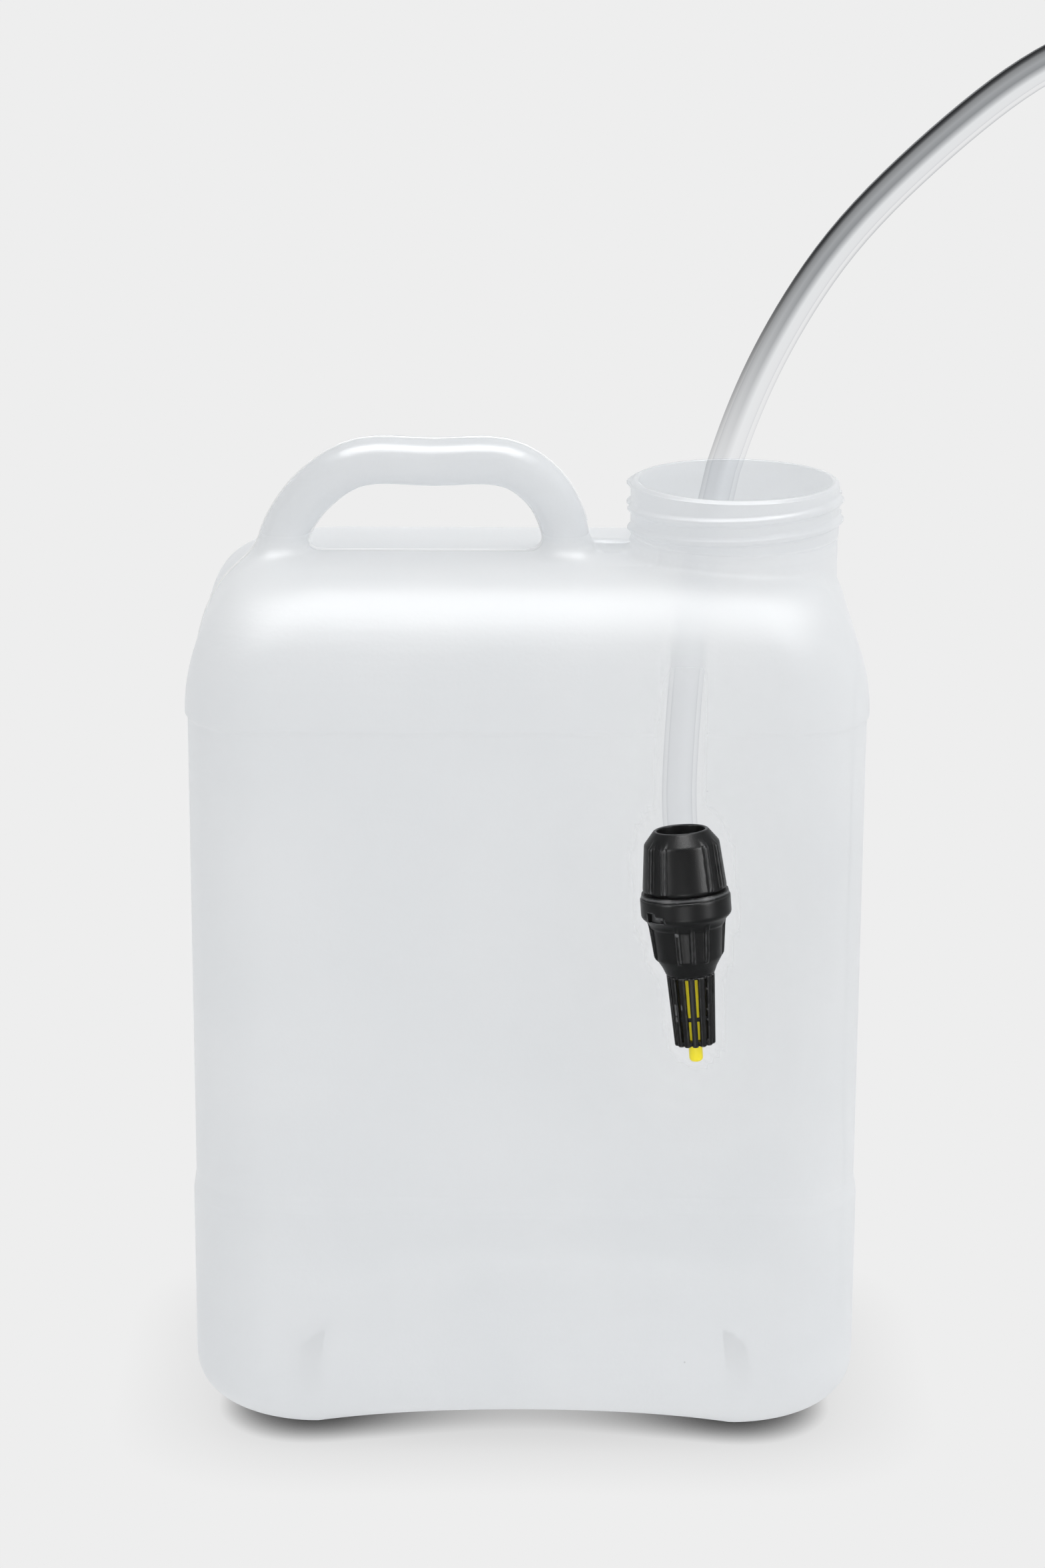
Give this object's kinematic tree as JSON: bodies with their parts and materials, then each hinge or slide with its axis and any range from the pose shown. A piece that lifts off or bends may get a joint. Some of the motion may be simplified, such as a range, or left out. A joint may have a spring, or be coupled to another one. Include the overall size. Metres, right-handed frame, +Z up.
{
  "type": "detergent dispenser bottle",
  "caption": "Translucent handled canister with an open wide screw neck, a clear suction hose through it and a foot valve with a strainer on the hose's end.",
  "frame": {"origin": "on the floor under the middle of the canister", "axes": "+Z up, +X from the handle towards the neck, +Y from the front to the back"},
  "size_m": [0.6335, 0.192, 0.6432],
  "materials": {
    "canister_hdpe": "translucent natural polyethylene, satin",
    "clear_hose": "clear soft PVC, glossy",
    "black_plastic": "moulded, satin with fine grain",
    "yellow_plastic": "moulded, semi-gloss",
    "seal_rubber": "matt",
    "spring_steel": "drawn wire",
    "tie_strap": "woven hook-and-loop strap"
  },
  "bodies": {
    "root": {"canister_body": "canister_hdpe", "suction_hose": "clear_hose", "hose_coil": "clear_hose", "hose_tail": "clear_hose", "coil_tie": "tie_strap", "valve_head": "black_plastic", "head_o_ring": "seal_rubber", "return_spring": "spring_steel", "pump_spigot": "black_plastic", "coupling_washer": "seal_rubber", "hose_clip": "spring_steel"},
    "ring_carriage": {"clamp_ring": "black_plastic"},
    "nut": {"clamp_nut": "black_plastic"},
    "housing": {"valve_housing": "black_plastic", "strainer_basket": "black_plastic"},
    "stem": {"valve_stem": "yellow_plastic", "stem_seal": "seal_rubber"},
    "pump_nut": {"coupling_nut": "black_plastic"}
  },
  "joints": [
    {"name": "clamp_ring_lift", "type": "slide", "parent": "root", "child": "ring_carriage", "axis": [-0.078, 0.1045, 0.9915], "range_m": [0, 0.012]},
    {"name": "clamp_nut_turn", "type": "hinge", "parent": "ring_carriage", "child": "nut", "pos_m": [0.0678, -0.04, 0.2751], "axis": [-0.078, 0.1045, 0.9915], "range_deg": [0, 1440]},
    {"name": "housing_twist", "type": "hinge", "parent": "root", "child": "housing", "pos_m": [0.0678, -0.04, 0.2751], "axis": [-0.078, 0.1045, 0.9915], "range_deg": [0, 20]},
    {"name": "stem_lift", "type": "slide", "parent": "housing", "child": "stem", "axis": [-0.078, 0.1045, 0.9915], "range_m": [0, 0.0045], "stiffness_N_per_m": 120, "springref_m": -0.006, "deforming": ["return_spring"]},
    {"name": "coupling_nut_spin", "type": "hinge", "parent": "root", "child": "pump_nut", "pos_m": [0.486, 0.0825, 0.0132], "axis": [1, 0, 0], "continuous": true}
  ],
  "couplings": [
    {"joint": "clamp_nut_turn", "follows": "clamp_ring_lift", "rad_per_m": 2094.4}
  ]
}
